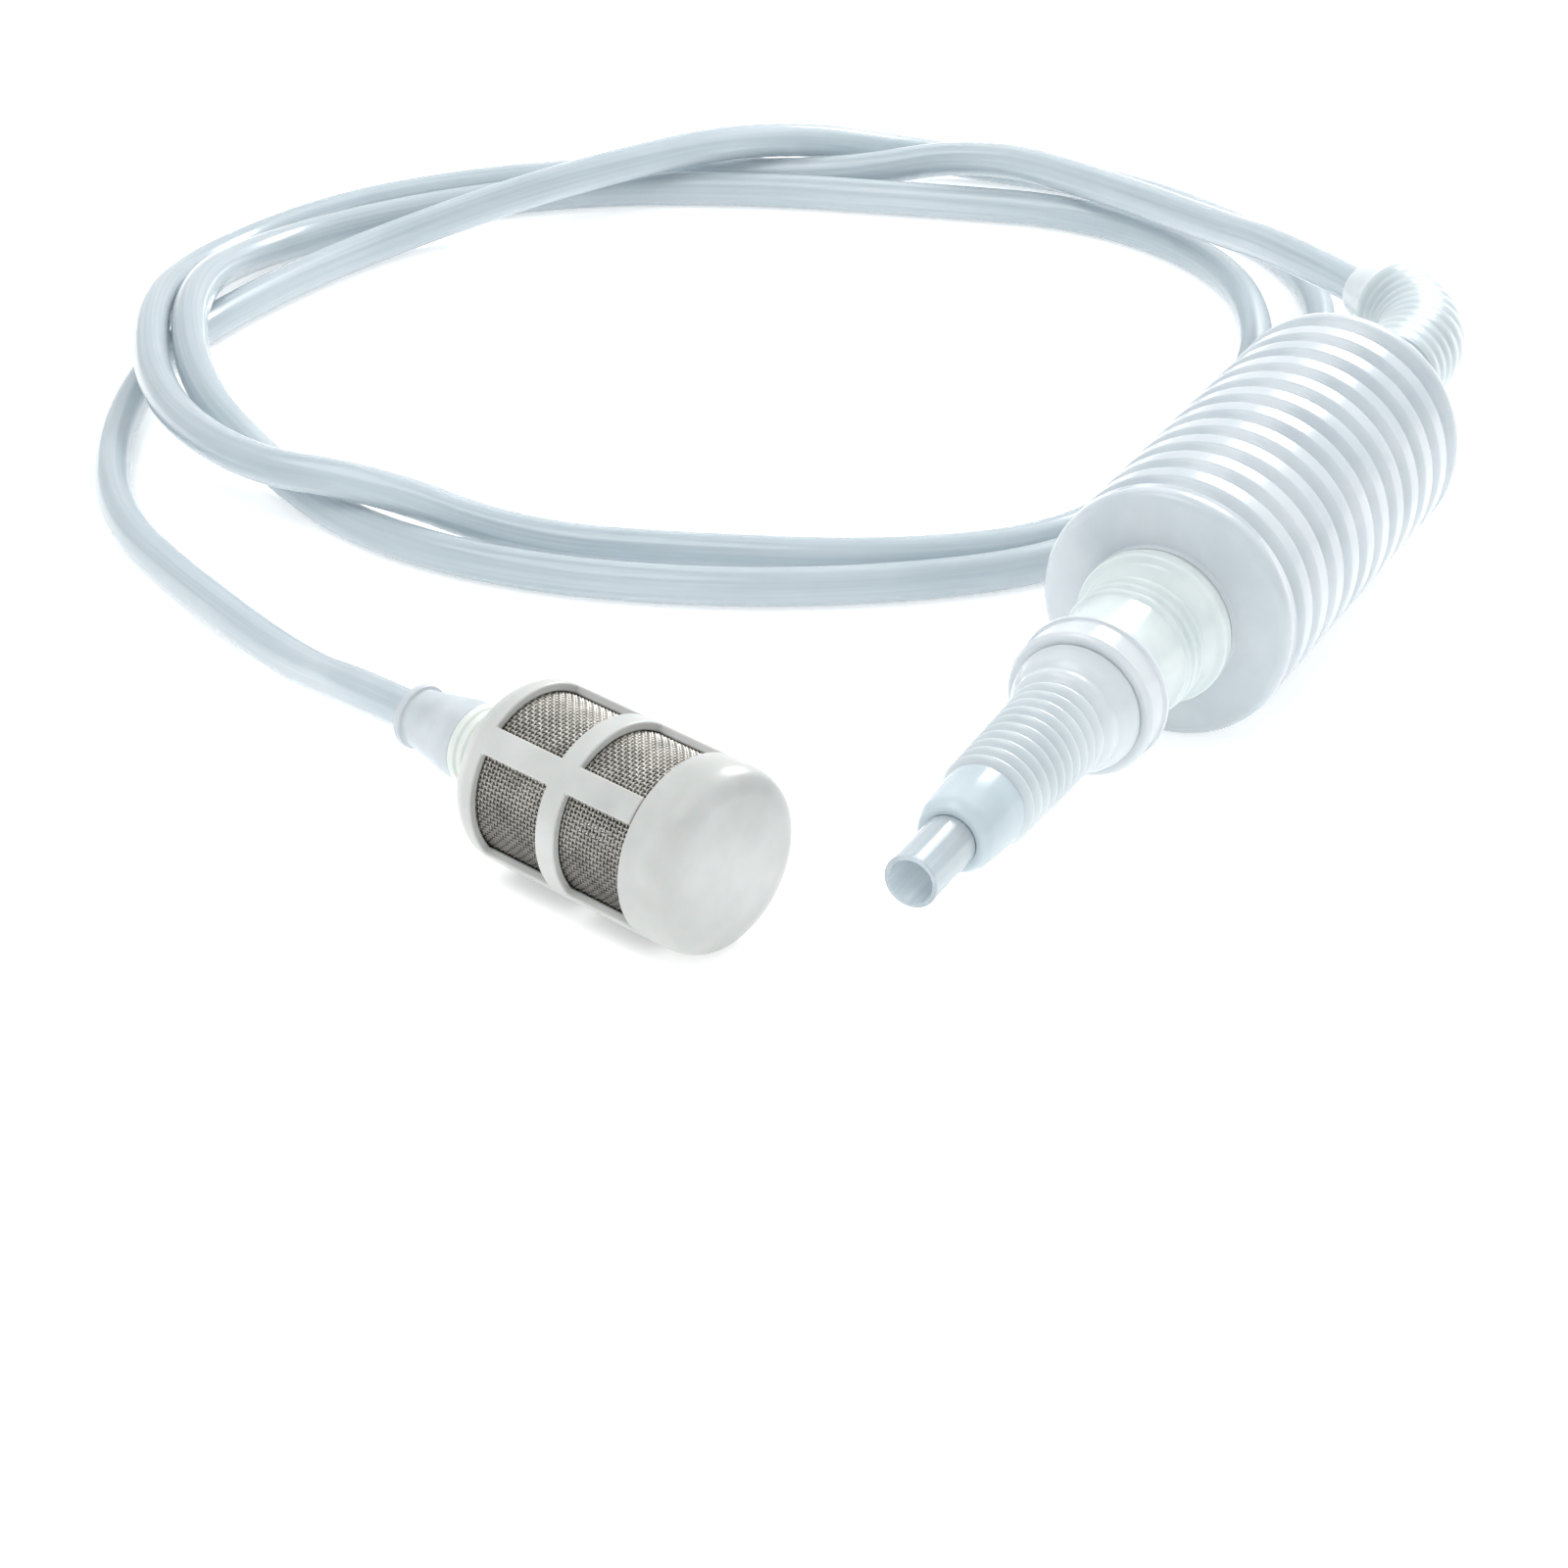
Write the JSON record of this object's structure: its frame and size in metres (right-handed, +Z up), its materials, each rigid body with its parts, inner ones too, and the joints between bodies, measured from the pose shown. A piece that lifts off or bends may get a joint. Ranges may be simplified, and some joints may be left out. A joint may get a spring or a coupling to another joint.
{
  "type": "siphon pump",
  "caption": "Hand-squeeze siphon: ribbed pump bulb with check valves, corrugated spout and elbow, clear hose in loose turns, and a mesh strainer.",
  "frame": {"origin": "on the floor, straight below the middle of the pump bulb's axis", "axes": "+X along the pump from the spout toward the elbow, +Y toward the coil of hose, +Z up"},
  "size_m": [0.3629, 0.3047, 0.05],
  "materials": {
    "bulb_plastic": "soft translucent polyethylene, satin",
    "seal_rubber": "pale silicone rubber",
    "housing_plastic": "milky polypropylene",
    "disc_silicone": "translucent silicone",
    "cap_plastic": "translucent polypropylene",
    "spout_plastic": "flexible translucent polyethylene",
    "hose_vinyl": "clear soft vinyl",
    "strainer_plastic": "white moulded plastic",
    "steel_mesh": "fine woven stainless wire",
    "nipple_plastic": "off-white moulded plastic",
    "sleeve_rubber": "soft grey-blue vinyl"
  },
  "bodies": {
    "inlet_end": {"bellows_bulb": "bulb_plastic", "inlet_seal": "seal_rubber", "inlet_valve_housing": "housing_plastic", "inlet_valve_stop": "housing_plastic", "inlet_cap_gasket": "seal_rubber", "inlet_screw_cap": "cap_plastic", "inlet_elbow": "spout_plastic", "inlet_hose_cuff": "sleeve_rubber", "hose": "hose_vinyl", "strainer_cage": "strainer_plastic", "strainer_mesh": "steel_mesh", "strainer_washer": "seal_rubber", "strainer_nipple": "nipple_plastic", "strainer_nut": "nipple_plastic", "strainer_hose_sleeve": "sleeve_rubber"},
    "outlet_end": {"outlet_seal": "seal_rubber", "outlet_valve_housing": "housing_plastic", "outlet_valve_stop": "housing_plastic", "outlet_cap_gasket": "seal_rubber", "outlet_screw_cap": "cap_plastic", "outlet_spout": "spout_plastic"},
    "spout_tip": {"outlet_tip_sleeve": "sleeve_rubber", "outlet_stub_tube": "hose_vinyl"},
    "outlet_disc": {"outlet_valve_disc": "disc_silicone"},
    "inlet_disc": {"inlet_valve_disc": "disc_silicone"},
    "strainer_cap": {"strainer_end_cap": "strainer_plastic"}
  },
  "joints": [
    {"name": "pump_stroke", "type": "slide", "parent": "inlet_end", "child": "outlet_end", "axis": [1, 0, 0], "range_m": [0, 0.018], "stiffness_N_per_m": 250, "deforming": ["bellows_bulb"]},
    {"name": "spout_bend", "type": "hinge", "parent": "outlet_end", "child": "spout_tip", "pos_m": [-0.11195, 0, 0.025], "axis": [0, 0, 1], "range_deg": [-35, 35], "deforming": ["outlet_spout"]},
    {"name": "outlet_valve_lift", "type": "slide", "parent": "outlet_end", "child": "outlet_disc", "axis": [-1, 0, 0], "range_m": [0, 0.0015]},
    {"name": "inlet_valve_lift", "type": "slide", "parent": "inlet_end", "child": "inlet_disc", "axis": [-1, 0, 0], "range_m": [0, 0.0015]},
    {"name": "strainer_cap_pull", "type": "slide", "parent": "inlet_end", "child": "strainer_cap", "axis": [-0.2756, -0.9613, 0], "range_m": [0, 0.012]}
  ]
}
